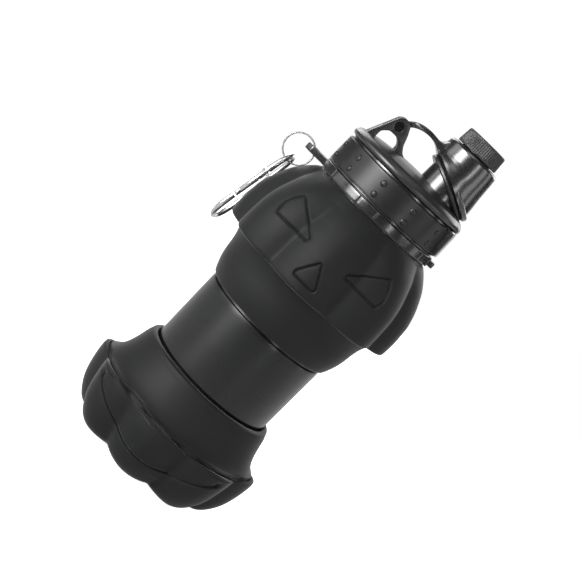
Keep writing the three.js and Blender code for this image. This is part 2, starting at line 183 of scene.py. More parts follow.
def moulded(name, low, high, rough_low, rough_high, grain, shine):
    mat, shader = principled(name, high, rough_high, Specular_IOR_Level=shine)
    broad = add_noise(mat, 35, 3)
    fine = add_noise(mat, 1500, 2)
    tint(mat, shader, broad, low, high)
    vary(mat, broad, shader.inputs["Roughness"], rough_low, rough_high)
    bump(mat, shader, [(fine, 1.0)], grain, 0.3)
    return mat


def metal(name, low, high, rough_low, rough_high):
    mat, shader = principled(name, high, rough_high, 1.0)
    broad = add_noise(mat, 120, 3)
    scratch = add_noise(mat, 1800, 4)
    tint(mat, shader, broad, low, high)
    vary(mat, broad, shader.inputs["Roughness"], rough_low, rough_high)
    bump(mat, shader, [(scratch, 1.0)], 0.000004, 0.15)
    return mat


SILICONE = silicone("silicone_matte", (0.0062, 0.0064, 0.0067), (0.0080, 0.0082, 0.0085),
                    0.56, 0.66, 0.00004, 0.2, 0.28)
TUBE = silicone("silicone_satin", (0.0040, 0.0042, 0.0045), (0.0052, 0.0054, 0.0057),
                0.26, 0.3, 0.000005, 0.44, 0.0)
GLOSS = moulded("plastic_gloss", (0.009, 0.009, 0.0095), (0.013, 0.013, 0.0135),
                0.18, 0.24, 0.000006, 0.62)
COVER = moulded("cover_gloss", (0.009, 0.009, 0.0095), (0.013, 0.013, 0.0135),
                0.24, 0.28, 0.000005, 1.0)
SATIN = moulded("plastic_satin", (0.013, 0.013, 0.0135), (0.017, 0.017, 0.0175),
                0.3, 0.38, 0.00001, 0.45)
BAND = moulded("band_satin", (0.008, 0.008, 0.0085), (0.011, 0.011, 0.0115),
               0.32, 0.4, 0.00001, 0.33)
CAPMAT = moulded("cap_satin", (0.015, 0.015, 0.0155), (0.019, 0.019, 0.0195),
                 0.5, 0.58, 0.000005, 0.5)
DARK = moulded("seal_dark", (0.0015, 0.0015, 0.0015), (0.003, 0.003, 0.003),
               0.55, 0.7, 0.00004, 0.15)
CHROME = metal("chrome", (0.50, 0.505, 0.51), (0.60, 0.605, 0.61), 0.26, 0.34)
STEEL = metal("steel_wire", (0.30, 0.302, 0.305), (0.38, 0.382, 0.385), 0.52, 0.6)


# ------------------------------------------------------------------ mesh helpers (millimetres)
SHARP = 35                      # edges that turn by more than this many degrees stay sharp


def mesh_object(name, verts, faces, material, sharp=SHARP):
    mesh = bpy.data.meshes.new(name)
    mesh.from_pydata((np.asarray(verts, float) * MM).tolist(), [], [list(map(int, f)) for f in faces])
    mesh.update()
    mesh.shade_smooth()
    mesh.set_sharp_from_angle(angle=math.radians(sharp))
    mesh.materials.append(material)
    obj = bpy.data.objects.new(name, mesh)
    scene.collection.objects.link(obj)
    return obj


def place(obj, body, slot_name, *nodes, turn=None):
    if turn is not None:
        obj.data.transform(Matrix.Rotation(turn, 4, "Z"))
    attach(obj, body)
    if nodes:
        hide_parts(*nodes)
    return obj


def rounded(points, steps=6, closed=False):
    """A polyline with its corners rounded. Each point is (x, y) or (x, y, radius)."""
    out = []
    n = len(points)
    for i, p in enumerate(points):
        radius = p[2] if len(p) > 2 else 0
        if radius <= 0 or (not closed and i in (0, n - 1)):
            out.append((p[0], p[1]))
            continue
        a = np.array(points[(i - 1) % n][:2], float)
        b = np.array(p[:2], float)
        c = np.array(points[(i + 1) % n][:2], float)
        u, v = a - b, c - b
        lu, lv = np.linalg.norm(u), np.linalg.norm(v)
        u, v = u / lu, v / lv
        half = math.acos(max(-1, min(1, float(u @ v)))) / 2
        if half > math.pi / 2 - 1e-3:
            out.append((p[0], p[1]))
            continue
        reach = min(radius / math.tan(half), lu * 0.49, lv * 0.49)
        r = reach * math.tan(half)
        start, end = b + u * reach, b + v * reach
        centre = b + (u + v) / np.linalg.norm(u + v) * (r / math.sin(half))
        a0 = math.atan2(*(start - centre)[::-1])
        a1 = math.atan2(*(end - centre)[::-1])
        delta = (a1 - a0 + math.pi) % (2 * math.pi) - math.pi
        for k in range(steps + 1):
            t = a0 + delta * k / steps
            out.append((centre[0] + r * math.cos(t), centre[1] + r * math.sin(t)))
    return out


def spline(points, count):
    """A smooth line through the points, spaced evenly along its length."""
    pts = np.array(points, float)
    d = np.concatenate([[0], np.cumsum(np.linalg.norm(np.diff(pts, axis=0), axis=1) ** 0.5)])
    m = np.zeros_like(pts)
    m[1:-1] = (pts[2:] - pts[:-2]) / (d[2:] - d[:-2])[:, None]
    m[0] = (pts[1] - pts[0]) / (d[1] - d[0])
    m[-1] = (pts[-1] - pts[-2]) / (d[-1] - d[-2])
    t = np.linspace(0, d[-1], count * 4)
    i = np.clip(np.searchsorted(d, t, side="right") - 1, 0, len(pts) - 2)
    h = (d[i + 1] - d[i])[:, None]
    s = ((t - d[i]) / (d[i + 1] - d[i]))[:, None]
    fine = ((2 * s**3 - 3 * s**2 + 1) * pts[i] + (s**3 - 2 * s**2 + s) * h * m[i]
            + (-2 * s**3 + 3 * s**2) * pts[i + 1] + (s**3 - s**2) * h * m[i + 1])
    along = np.concatenate([[0], np.cumsum(np.linalg.norm(np.diff(fine, axis=0), axis=1))])
    want = np.linspace(0, along[-1], count)
    return [(float(np.interp(w, along, fine[:, 0])), float(np.interp(w, along, fine[:, 1])))
            for w in want]


def resample(points, step):
    """Adds points on long straight runs, so that no step is longer than step."""
    out = [points[0]]
    for a, b in zip(points, points[1:]):
        n = max(1, int(math.ceil(math.dist(a, b) / step)))
        out += [(a[0] + (b[0] - a[0]) * k / n, a[1] + (b[1] - a[1]) * k / n) for k in range(1, n + 1)]
    return out


def sweep_grid(profile, angles, shape=None):
    """Sweeps (r, z) points round Z. shape changes (angle, r, z) arrays into new (r, z) arrays."""
    pr = np.array([p[0] for p in profile], float)
    pz = np.array([p[1] for p in profile], float)
    A, R = np.meshgrid(angles, pr)
    Z = np.repeat(pz[:, None], len(angles), axis=1)
    if shape is not None:
        R, Z = shape(A, R, Z)
    X, Y = R * np.cos(A), R * np.sin(A)
    return X, Y, Z


def grid_faces(rows, cols, wrap_rows):
    faces = []
    last = rows if wrap_rows else rows - 1
    for i in range(last):
        a, b = i * cols, ((i + 1) % rows) * cols
        for j in range(cols):
            k = (j + 1) % cols
            faces.append((a + j, a + k, b + k, b + j))
    return faces


def end_caps(rows, cols):
    """The faces that close the first and the last row of an open grid."""
    return [tuple(range(cols))[::-1], tuple(range((rows - 1) * cols, rows * cols))]


def swept(name, profile, angles, material, shape=None, closed=True, sharp=SHARP, move=None):
    """A swept object. An open profile that starts and ends on the axis is closed with caps."""
    X, Y, Z = sweep_grid(profile, angles, shape)
    if move is not None:
        X, Y, Z = move(X, Y, Z)
    rows, cols = X.shape
    verts = np.stack([X.ravel(), Y.ravel(), Z.ravel()], 1)
    faces = grid_faces(rows, cols, closed) + ([] if closed else end_caps(rows, cols))
    return mesh_object(name, verts, faces, material, sharp)


def even(steps):
    return np.linspace(0, 2 * math.pi, steps, endpoint=False)


def circle(x, y, radius, steps):
    return [(x + radius * math.cos(a), y + radius * math.sin(a)) for a in even(steps)]


def pick(points, axis):
    """One coordinate of each point."""
    return [p[axis] for p in points]


def outline_solid(name, outline, holes, y0, y1, material, bevel):
    """A plate drawn in X and Z between y0 and y1 with rounded edges; holes go through it."""
    curve = bpy.data.curves.new(name, "CURVE")
    curve.dimensions = "2D"
    curve.fill_mode = "BOTH"
    for loop in [outline] + list(holes):
        s = curve.splines.new("POLY")
        s.points.add(len(loop) - 1)
        for q, (x, z) in zip(s.points, loop):
            q.co = (x, z, 0, 1)
        s.use_cyclic_u = True
    half = abs(y1 - y0) / 2
    curve.extrude = half - bevel
    curve.bevel_depth = bevel
    curve.bevel_resolution = 3
    curve.offset = -bevel
    temp = bpy.data.objects.new(name, curve)
    scene.collection.objects.link(temp)
    bpy.context.view_layer.update()
    mesh = bpy.data.meshes.new_from_object(temp)
    bpy.data.objects.remove(temp)
    mesh.transform(Matrix.Rotation(math.pi / 2, 4, "X"))
    mesh.transform(Matrix.Translation((0, (y0 + y1) / 2, 0)))
    mesh.transform(Matrix.Scale(MM, 4))
    mesh.materials.clear()
    mesh.materials.append(material)
    work = bmesh.new()
    work.from_mesh(mesh)
    bmesh.ops.remove_doubles(work, verts=work.verts, dist=1e-6)
    bmesh.ops.recalc_face_normals(work, faces=work.faces)
    work.to_mesh(mesh)
    work.free()
    mesh.shade_smooth()
    mesh.set_sharp_from_angle(angle=math.radians(SHARP))
    obj = bpy.data.objects.new(name, mesh)
    scene.collection.objects.link(obj)
    return obj


def tube_mesh(name, path, radius, material, sides):
    """A round wire along points; radius is one number or one for each point."""
    pts = np.array(path, float)
    n = len(pts)
    radii = np.full(n, radius, float) if np.isscalar(radius) else np.array(radius, float)
    tang = np.gradient(pts, axis=0)
    tang /= np.linalg.norm(tang, axis=1)[:, None]
    normal = np.cross(tang[0], [0.0, 1.0, 0.1])
    normal /= np.linalg.norm(normal)
    verts = []
    for i in range(n):
        normal = normal - tang[i] * float(normal @ tang[i])
        normal /= np.linalg.norm(normal)
        side = np.cross(tang[i], normal)
        for k in range(sides):
            a = 2 * math.pi * k / sides
            verts.append(pts[i] + radii[i] * (math.cos(a) * normal + math.sin(a) * side))
    obj = mesh_object(name, verts, grid_faces(n, sides, False) + end_caps(n, sides), material, 50)
    work = bmesh.new()
    work.from_mesh(obj.data)
    bmesh.ops.recalc_face_normals(work, faces=work.faces)
    work.to_mesh(obj.data)
    work.free()
    return obj


def join(objects, name):
    """Makes one object out of several; the first one's material serves them all."""
    work = bmesh.new()
    base = objects[0]
    for o in objects:
        work.from_mesh(o.data)
    work.to_mesh(base.data)
    work.free()
    for o in objects[1:]:
        bpy.data.objects.remove(o)
    base.name = name
    base.data.shade_smooth()
    base.data.set_sharp_from_angle(angle=math.radians(SHARP))
    return base


# ------------------------------------------------------------------ lobed silicone body
LOBES = 8
GROOVE_SOFTNESS = 0.085


def groove_share(angle):
    """How far a point lies down the valley between two lobes: 0 on a crest, near 1 in a valley."""
    soft = GROOVE_SOFTNESS
    turns = angle / (2 * math.pi) * LOBES
    away = 1 - np.abs(turns - np.round(turns)) * 2
    return np.clip(1 - np.sqrt(away**2 + soft**2) + soft * 0.55, 0, 1) ** 2


def front_angles(fine, coarse):
    """Angles round the bottle, close together at the front where the face is."""
    a = np.arange(-75, 75, fine)
    b = np.arange(75, 285, coarse)
    return np.radians(np.concatenate([a, b]) - 90)


def loop_distance(x, z, loop):
    """Signed distance from points to a closed outline, negative inside."""
    pts = np.array(loop, float)
    a, b = pts, np.roll(pts, -1, 0)
    best = np.full(x.shape, 1e9)
    inside = np.zeros(x.shape, bool)
    for (ax, az), (bx, bz) in zip(a, b):
        dx, dz = bx - ax, bz - az
        t = np.clip(((x - ax) * dx + (z - az) * dz) / (dx * dx + dz * dz), 0, 1)
        best = np.minimum(best, np.hypot(x - ax - t * dx, z - az - t * dz))
        if az != bz:
            cross = ((az > z) != (bz > z)) & (x < (bx - ax) * (z - az) / (bz - az) + ax)
            inside ^= cross
    return np.where(inside, -best, best)


def recess(distance, depth, softness):
    """Depth of a sunk field with rounded walls; distance is negative inside."""
    return depth / (1 + np.exp(np.clip((distance + 0.35) / softness, -40, 40)))


def engraved(distance, depth, width):
    """Depth of a round-bottomed line that follows an outline."""
    return depth * np.exp(-(((distance + 0.4) / width) ** 2))


EYE = rounded([(10.9, 138.9, 1.2), (12.0, 136.3, 1.2), (31.6, 135.7, 1.6), (32.3, 141.5, 8),
               (30.0, 146.8, 5), (27.2, 150.6, 1.6)], 5, True)
NOSE = rounded([(0, 136.4, 1.4), (8.2, 122.5, 2.0), (-8.2, 122.5, 2.0)], 6, True)
MOUTH_LOW = spline([(37.9, 24.6), (34, 21.5), (26.4, 17.9), (17, 14.5), (7, 12.3), (0, 11.9)], 20)
MOUTH_UP = spline([(0, 19.2), (10, 19.8), (20, 21.4), (30, 23.8), (37.4, 26.4)], 20)
MOUTH_LOOP = (MOUTH_LOW + [(-x, z) for x, z in MOUTH_LOW[-2::-1]]
              + [(-x, z) for x, z in MOUTH_UP[::-1]] + MOUTH_UP[1:])
MOUTH_TIP = (37.4, 25.9)


def lobed(depths, carved, carve, rises=None, crease=None):
    """Makes the shape function of a lobed skin from one groove depth for each profile point.

    carved marks the points that carve may cut at the front; rises lifts the points of a valley,
    and crease is the height of a fine line round the lobes.
    """
    depth = np.array(depths, float)[:, None]
    rise = np.zeros_like(depth) if rises is None else np.array(rises, float)[:, None]

    def shape(A, R, Z):
        g = groove_share(A)
        r, z = R - g * depth, Z + g * rise
        front = np.array(carved, bool)[:, None] & (np.sin(A) < -0.1)
        r = np.where(front, r - carve(r * np.cos(A), z), r)
        if crease is not None:
            r = r - 0.6 * np.exp(-(((Z - crease) / 0.3) ** 2)) * np.clip(1 - 4 * g, 0, 1) * (R > 49)
        return r, z
    return shape


def levels(table, values):
    """Reads values off a table of (position, value) rows."""
    return np.interp(values, pick(table, 0), pick(table, 1))


def face_carving(x, z):
    """How deep the eyes and the nose are cut at a point of the front."""
    total = np.zeros_like(x)
    near = np.abs(x) < 40
    for loop in (EYE, [(-a, b) for a, b in EYE], NOSE):
        d = loop_distance(x, z, loop)
        total = np.maximum(total, np.where(near, recess(d, 0.35, 0.2) + engraved(d, 0.95, 0.5), 0))
    return total


def mouth_carving(x, z):
    """How deep the mouth is cut: a sharp lower edge, a soft upper one and a dimple at each corner."""
    d = loop_distance(x, z, MOUTH_LOOP)
    lower = np.interp(np.abs(x), pick(MOUTH_LOW[::-1], 0), pick(MOUTH_LOW[::-1], 1))
    above = np.clip((z - lower) / 3.0, 0, 1)
    tips = np.exp(-(((np.abs(x) - MOUTH_TIP[0]) / 0.8) ** 2 + (z - MOUTH_TIP[1]) ** 2))
    return recess(d, 0.9, 0.2 + 1.4 * above) + engraved(d, 1.2, 0.5) * (1 - above) + tips


def marks(*runs):
    """A list of 0 and 1: each run is (points, whether they may be carved)."""
    return [carved for points, carved in runs for _ in points]


FACE_STEP, PLAIN_STEP = 0.26, 1.25      # degrees between points, at the face and round the rest

SHELL_SIDE = [(49.95, 120.8), (50.08, 126.0), (49.72, 131.7), (49.1, 136.6), (47.4, 142.4), (45.2, 147.6),
              (42.3, 153.0), (39.2, 157.0), (36.9, 159.5), (34.9, 161.3), (33.0, 162.5)]
SHELL_DEPTH = [(117, 4.6), (126, 5.3), (136.6, 5.2), (142.4, 4.8), (147.6, 4.5), (153, 3.8), (157, 2.9),
               (161, 1.3), (162.4, 0)]
lip = resample(rounded([(40.4, 120.2), (40.4, 117.6, 0.5), (49.75, 117.6, 1.7), (49.95, 120.8)], 7), 0.7)
side = spline(SHELL_SIDE, 160)
mouth = resample(rounded([(33.0, 162.5), (31.7, 162.4, 0.3), (31.7, 158.4, 0.5), (34.6, 157.4)], 3), 2.0)
inside = spline([(34.6, 157.4), (39.2, 152.4), (43.4, 145.4), (46.2, 137.0), (47.3, 129.0), (47.2, 122.6),
                 (44.5, 120.6), (40.4, 120.2)], 40)
lip, mouth, inside = lip[:-1], mouth[1:], inside[1:-1]
shell_depths = np.concatenate([
    np.interp(pick(lip, 0), [40.4, 49], [0, 4.8]), levels(SHELL_DEPTH, pick(side, 1)),
    np.zeros(len(mouth)), np.interp(pick(inside, 0), [34, 39, 44, 47.4], [0, 1.8, 3.4, 4.6])])
shell_marks = marks((lip, 0), (side, 1), (mouth, 0), (inside, 0))
shell = swept("shell_skin", lip + side + mouth + inside, front_angles(FACE_STEP, PLAIN_STEP), SILICONE,
              lobed(shell_depths, shell_marks, face_carving), sharp=40)
place(shell, "shell", "silicone", "upper_shell")

BOWL_SIDE = [(35.5, 0.1), (38.6, 0.9), (41.3, 3.0), (44.1, 6.7), (46.2, 10.6), (47.6, 14.5), (48.8, 19.5),
             (49.6, 24.5), (49.9, 28.2)]
BOWL_DEPTH = [(0, 2.6), (1.5, 3.5), (4, 4.4), (8, 5.2), (20, 5.4), (28, 5.0), (30.4, 4.8)]
BOWL_CREASE_Z = 29.2
base = [(0.01, 0.0), (12, 0.0), (22, 0.0)] + [(24 + k * 1.15, 0.0) for k in range(10)]
side = spline(BOWL_SIDE, 130)
rim = resample(rounded([(49.9, 28.2), (49.8, 30.35, 1.3), (47.9, 30.35, 0.8), (46.9, 28.3, 0.5),
                        (42.5, 28.2, 0.4), (42.5, 27.8)], 7), 0.5)[1:]
inside = spline([(42.5, 27.8), (45.8, 25.6), (46.2, 19.5), (43.9, 12.0), (40.8, 7.2), (37.0, 5.0),
                 (30, 4.8)], 30)[1:] + [(20, 4.8), (0.01, 4.8)]
bowl_depths = np.concatenate([
    np.interp(pick(base, 0), [24, 35], [0, 2.6]), levels(BOWL_DEPTH, pick(side, 1)),
    np.interp(pick(rim, 0), [42.5, 49], [0, 5.0]), np.interp(pick(inside, 0), [36, 44], [0, 4.2])])
bowl_rises = np.concatenate([
    np.interp(pick(base, 0), [26, 34.4], [0, 2.0]),
    np.interp(pick(side, 0), [35.5, 39, 43, 46], [2.3, 2.4, 1.2, 0]),
    np.interp(pick(rim, 1), [28.2, 30.3], [0, -2.4]), np.zeros(len(inside))])
bowl_marks = marks((base, 0), (side, 1), (rim, 0), (inside, 0))
bowl = swept("bowl_skin", base + side + rim + inside, front_angles(FACE_STEP, PLAIN_STEP), SILICONE,
             lobed(bowl_depths, bowl_marks, mouth_carving, bowl_rises, BOWL_CREASE_Z), False, 40)
place(bowl, "bowl", "silicone", "lower_bowl")

# ------------------------------------------------------------------ folds and tube


def flare_valleys(A, R, Z):
    """Draws the foot of the lower skirt in where the bowl's valleys meet it."""
    g = np.clip(groove_share(A) * 1.4, 0, 1) * np.interp(Z, [30.8, 33.0], [1, 0]) * (R > 42.85)
    return R + (np.interp(Z, [27.6, 31.5], [44.7, 44.4]) - R) * g, Z


LOWER_FOLD_OUTSIDE = [(44.6, 28.6), (45.4, 29.8), (46.6, 30.4), (46.9, 30.9), (46.2, 31.4), (44.9, 32.0),
                      (43.3, 33.9), (41.8, 36.8), (40.4, 41.0), (39.4, 45.0), (38.6, 48.4), (38.0, 49.8)]
LOWER_FOLD_INSIDE = [(34.5, 49.0), (36.6, 44.4), (38.0, 40.0), (39.8, 35.6), (41.4, 32.0), (42.8, 27.6)]
lower_fold = swept("lower_fold_skin", (
    [(42.8, 27.6), (44.6, 27.6)] + spline(LOWER_FOLD_OUTSIDE, 60)
    + rounded([(38.0, 49.8), (37.3, 52.1, 2.4), (34.75, 52.3, 0.7), (34.5, 49.0)], 7)[1:]
    + spline(LOWER_FOLD_INSIDE, 24)[1:-1]), even(480), SILICONE, flare_valleys)
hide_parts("lower_fold")

UPPER_FOLD_OUTSIDE = [(36.5, 94.4), (37.5, 97.0), (38.6, 100.6), (39.3, 104.6), (39.8, 108.6),
                      (40.6, 112.4), (41.6, 115.2), (42.7, 117.3)]
UPPER_FOLD_INSIDE = [(42.7, 117.3), (40.6, 117.3), (39.4, 114.0), (38.3, 109.4), (37.4, 104.6),
                     (36.7, 100.0), (34.7, 95.6)]
upper_fold = swept("upper_fold_skin", (
    rounded([(34.7, 95.6), (34.7, 92.5, 0.25), (35.6, 92.5, 0.5), (36.5, 94.4)], 4)[:-1]
    + spline(UPPER_FOLD_OUTSIDE, 44) + spline(UPPER_FOLD_INSIDE, 24)[1:-1]), even(240), SILICONE)
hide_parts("upper_fold")
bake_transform(lower_fold)
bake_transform(upper_fold)

tube = swept("tube_skin", resample(rounded([
    (32.0, 49.5, 0.6), (34.0, 49.5, 0.6), (33.4, 50.4, 0.3), (33.4, 52.7, 0.3), (34.1, 53.4, 0.4),
    (34.4, 88), (34.4, 90.7, 0.3), (33.4, 91.2, 0.3), (33.4, 94.4, 0.3), (34.2, 95.5, 0.3),
    (32.0, 95.5, 0.6)], 4, True), 3), even(240), TUBE)
place(tube, "tube", "tube_silicone", "middle_tube")

# ------------------------------------------------------------------ neck insert with its thread, carry ring
NECK_RADIUS = 29.8
THREAD_STARTS = 3
neck = swept("neck_skin", resample(rounded([
    (27.5, 155.4, 0.3), (33.0, 155.4, 0.3), (33.0, 156.6, 0.2), (31.2, 157.4, 0.3), (31.2, 167.4, 0.3),
    (NECK_RADIUS, 167.4, 0.2), (NECK_RADIUS, 183.5, 0.5), (27.5, 183.5, 0.5)], 4, True), 4), even(200), GLOSS)


def helix_ridge(name, start_angle):
    """A raised thread ridge on the outside of the neck, fading in and out at its ends."""
    radius, z0, lead, turns, high, width, steps = NECK_RADIUS, 170.6, 10, 0.95, 0.7, 0.75, 90
    verts = []
    for i in range(steps + 1):
        t = i / steps
        a = start_angle + 2 * math.pi * turns * t
        z = z0 + lead * turns * t
        h = high * min(1, t / 0.06, (1 - t) / 0.06)
        for r, dz in ((radius - 0.3, -width), (radius + h, -width * 0.35),
                      (radius + h, width * 0.35), (radius - 0.3, width)):
            verts.append((r * math.cos(a), r * math.sin(a), z + dz))
    faces = []
    for i in range(steps):
        for k in range(4):
            a, b = i * 4 + k, i * 4 + (k + 1) % 4
            faces.append((a, a + 4, b + 4, b))
    faces.append((0, 1, 2, 3))
    faces.append(tuple(steps * 4 + k for k in (3, 2, 1, 0)))
    return mesh_object(name, verts, faces, GLOSS, 30)


ridges = [helix_ridge(f"ridge_{k}", k * 2 * math.pi / THREAD_STARTS) for k in range(THREAD_STARTS)]
neck = join([neck] + ridges, "neck_skin")
place(neck, "shell", "gloss_plastic", "neck_insert")


RING_SEAMS = (-49, -15, 3.4, 34.6, 61, 96, 131, 165, 199, 233, 267)    # degrees from the front


def ring_marks(A, R, Z):
    """Shallow seams around the carry ring."""
    theta = np.degrees(A) + 90
    r = R.copy()
    for mark in RING_SEAMS:
        d = np.abs((theta - mark + 180) % 360 - 180)
        r = np.where(R > 32.6, r - 0.22 * np.exp(-(d / 0.9) ** 2), r)
    return r, Z


ring_band = swept("carry_band", resample(rounded([
    (31.5, 162.8, 0.3), (33.4, 162.8, 0.5), (33.4, 167.7, 0.5), (31.5, 167.7, 0.3)], 4, True), 1.2),
    even(720), GLOSS, ring_marks)
TAB = rounded([(-45.2, 2.0, 2.4), (-45.2, -2.0, 2.4), (-42.2, -4.4, 2.2), (-32.4, -5.2), (-32.4, 5.2),
               (-42.2, 4.4, 2.2)], 6, True)
THUMB = rounded([(32.4, -5.0), (37.2, -4.3, 1.2), (37.2, 4.3, 1.2), (32.4, 5.0)], 6, True)
ROOT = rounded([(30.8, -6.2, 0.6), (34.4, -5.8, 0.8), (34.4, 5.8, 0.8), (30.8, 6.2, 0.6)], 4, True)


def flat_plate(name, outline, holes, half, bevel, z):
    """A plate lying level at height z, half is half its thickness."""
    obj = outline_solid(name, outline, holes, -half, half, GLOSS, bevel)
    obj.data.transform(Matrix.Rotation(-math.pi / 2, 4, "X"))
    obj.data.transform(Matrix.Translation((0, 0, z * MM)))
    return obj


tab = flat_plate("tab_left", TAB, [circle(-40.6, 0, 2.3, 40)], 1.6, 0.35, 165)
thumb = flat_plate("tab_right", THUMB, [], 1.4, 0.35, 165.3)
root = flat_plate("tab_root", ROOT, [], 2.35, 0.3, 165.25)
carry = join([ring_band, tab, thumb, root], "carry_ring_skin")
place(carry, "shell", "gloss_plastic", "carry_ring")

# ------------------------------------------------------------------ lid collar, grip band, gasket
STRIP_DEGREES = 19              # half the width of the collar's smooth strip at mid height
STRIP = math.radians(STRIP_DEGREES)


def strip_shape(A, R, Z):
    """Raises the smooth strip on the collar between its two edges, which spread towards the top."""
    d = np.abs((A + math.pi) % (2 * math.pi) - math.pi)
    edge = np.radians(np.interp(Z, [169, 174, 181, 183.4], [18.3, 19.0, 21.2, 24.0]))
    on = 1 / (1 + np.exp(np.clip((d - edge) / math.radians(0.3), -40, 40)))
    lift = np.interp(Z, [168.7, 169.3, 170, 181, 183, 184], [0, 3.2, 3.45, 3.1, 2.9, 2.5])
    return np.where(R > 31.85, R + on * lift, R), Z


collar = swept("collar_skin", resample(rounded([
    (31.0, 168.0, 0.2), (33.3, 168.0, 0.3), (33.3, 168.8, 0.2), (31.9, 168.8), (31.9, 184.0, 0.4),
    (31.0, 184.0, 0.2)], 4, True), 0.55), even(900), GLOSS, strip_shape)
place(collar, "lid", "gloss_plastic", "lid_collar")

BAND_EDGE = math.radians(19.35)
DOT_COLUMNS = 10
DOT_SPACING = 32.2              # degrees
DOT_ROWS_Z = (171.9, 178.3)
BAND_RADIUS = 33.2
band_profile = resample(rounded([
    (32.1, 169.0, 0.2), (33.25, 169.0, 0.35), (33.2, 182.5, 0.7), (32.1, 182.9, 0.2)], 4, True), 1.0)
X, Y, Z = sweep_grid(band_profile, np.linspace(BAND_EDGE, 2 * math.pi - BAND_EDGE, 420))
rows, cols = X.shape
faces = []
for i in range(rows):
    for j in range(cols - 1):
        a, b = i * cols, ((i + 1) % rows) * cols
        faces.append((a + j, a + j + 1, b + j + 1, b + j))
faces.append(tuple(i * cols for i in range(rows)))
faces.append(tuple(i * cols + cols - 1 for i in range(rows))[::-1])
pieces = [mesh_object("band", np.stack([X.ravel(), Y.ravel(), Z.ravel()], 1), faces, BAND)]

dot_profile = spline([(1.75, -0.1), (1.6, 0.06), (1.3, 0.42), (0.9, 0.6), (0.4, 0.66), (0.02, 0.67)], 12)
X, Y, Z = sweep_grid(dot_profile, even(24))
dot_faces = grid_faces(*X.shape, False) + end_caps(*X.shape)
for column in range(DOT_COLUMNS):
    angle = math.radians(STRIP_DEGREES + (column + 0.5) * DOT_SPACING)
    turn = np.array([[math.cos(angle), -math.sin(angle), 0], [math.sin(angle), math.cos(angle), 0], [0, 0, 1]])
    for height in DOT_ROWS_Z:
        verts = np.stack([Z.ravel() + BAND_RADIUS, X.ravel(), Y.ravel()], 1) @ turn.T
        pieces.append(mesh_object("dot", verts + np.array([0, 0, height]), dot_faces, BAND))
grip = join(pieces, "grip_band_skin")
place(grip, "lid", "satin_plastic", "grip_band")

gasket = swept("gasket_skin", resample(rounded([
    (27.8, 183.8, 0.5), (30.6, 183.8, 0.5), (30.6, 185.6, 0.5), (27.8, 185.6, 0.5)], 4, True), 1),
    even(160), DARK)
place(gasket, "gasket", "seal_rubber", "lid_gasket")

# ------------------------------------------------------------------ lid top
YAW = math.radians(12)          # the lid's parts are drawn along X and then turned by this
SPOUT_X = 15.7
SEAT = (16.75, 196.6, math.radians(26.5))    # x and z of the slanted seat's middle, and its slant
PLATE_Z = 188.0


def at_spout(X, Y, Z):
    return X + SPOUT_X, Y, Z


lid_profile = (resample(rounded([
    (0.01, 186.0), (26.0, 186.0, 0.2), (26.0, 184.6, 0.2), (27.4, 184.6, 0.2), (27.4, 186.0, 0.2),
    (31.0, 186.0, 0.2), (31.0, 184.25, 0.2), (32.7, 184.25, 0.3), (33.3, 184.5, 0.3), (33.85, 185.4, 0.5),
    (33.75, 186.5, 0.8), (32.6, 188.2, 1.2)], 5), 2)[:-1]
    + spline([(32.6, 188.2), (31.2, 188.9), (28.5, 189.5), (20, 191.0), (9, 192.0), (0.01, 192.3)], 26))


def swell_over_strip(A, R, Z):
    """Carries the plate's rim out and down onto the collar's smooth strip."""
    d = np.abs((A + YAW + math.pi) % (2 * math.pi) - math.pi)
    on = (R > 32) / (1 + np.exp(np.clip((d - STRIP + 0.02) / 0.02, -40, 40)))
    out = np.interp(Z, [184.3, 185.4, 188.2, 189.0], [1.5, 0.95, 0.3, 0])
    down = np.interp(Z, [184.3, 185.4], [0.45, 0])
    return R + on * out, Z - on * down


plate = swept("lid_plate", lid_profile, even(360), SATIN, swell_over_strip, False)


def to_seat(X, Y, Z):
    """From the slanted seat's own frame to the lid's."""
    cx, cz, tilt = SEAT
    return cx + X * math.cos(tilt) + Z * math.sin(tilt), Y, cz - X * math.sin(tilt) + Z * math.cos(tilt)


def oval(rx, ry):
    """Makes the shape function of a ring that follows an ellipse; the profile is drawn from its line."""
    def shape(A, R, Z):
        radius = 1 / np.sqrt((np.cos(A) / rx) ** 2 + (np.sin(A) / ry) ** 2)
        return R + radius, Z
    return shape


flange = swept("seat_flange", resample(rounded([
    (-7.4, -2.2, 0.2), (-0.6, -2.2, 0.5), (-0.4, -0.5, 0.4), (-7.4, -0.5, 0.2)], 4, True), 1.5),
    even(200), SATIN, oval(17.4, 15.9), move=to_seat)


def cut_by_seat(offset):
    """Ends a vertical wall at the slanted seat."""
    cx, cz, tilt = SEAT

    def move(X, Y, Z):
        X, Y, Z = at_spout(X, Y, Z)
        top = cz + (offset - (X - cx) * math.sin(tilt)) / math.cos(tilt)
        share = np.clip((Z - PLATE_Z) / 22.0, 0, 1)
        return X, Y, PLATE_Z + share * (top - PLATE_Z)
    return move


seat_wall = swept("seat_wall", resample(rounded([
    (9.0, PLATE_Z), (13.6, PLATE_Z), (12.3, 193.5, 2.0), (12.1, 210.0), (9.0, 210.0)], 4, True), 1.5),
    even(200), COVER, move=cut_by_seat(-0.7))

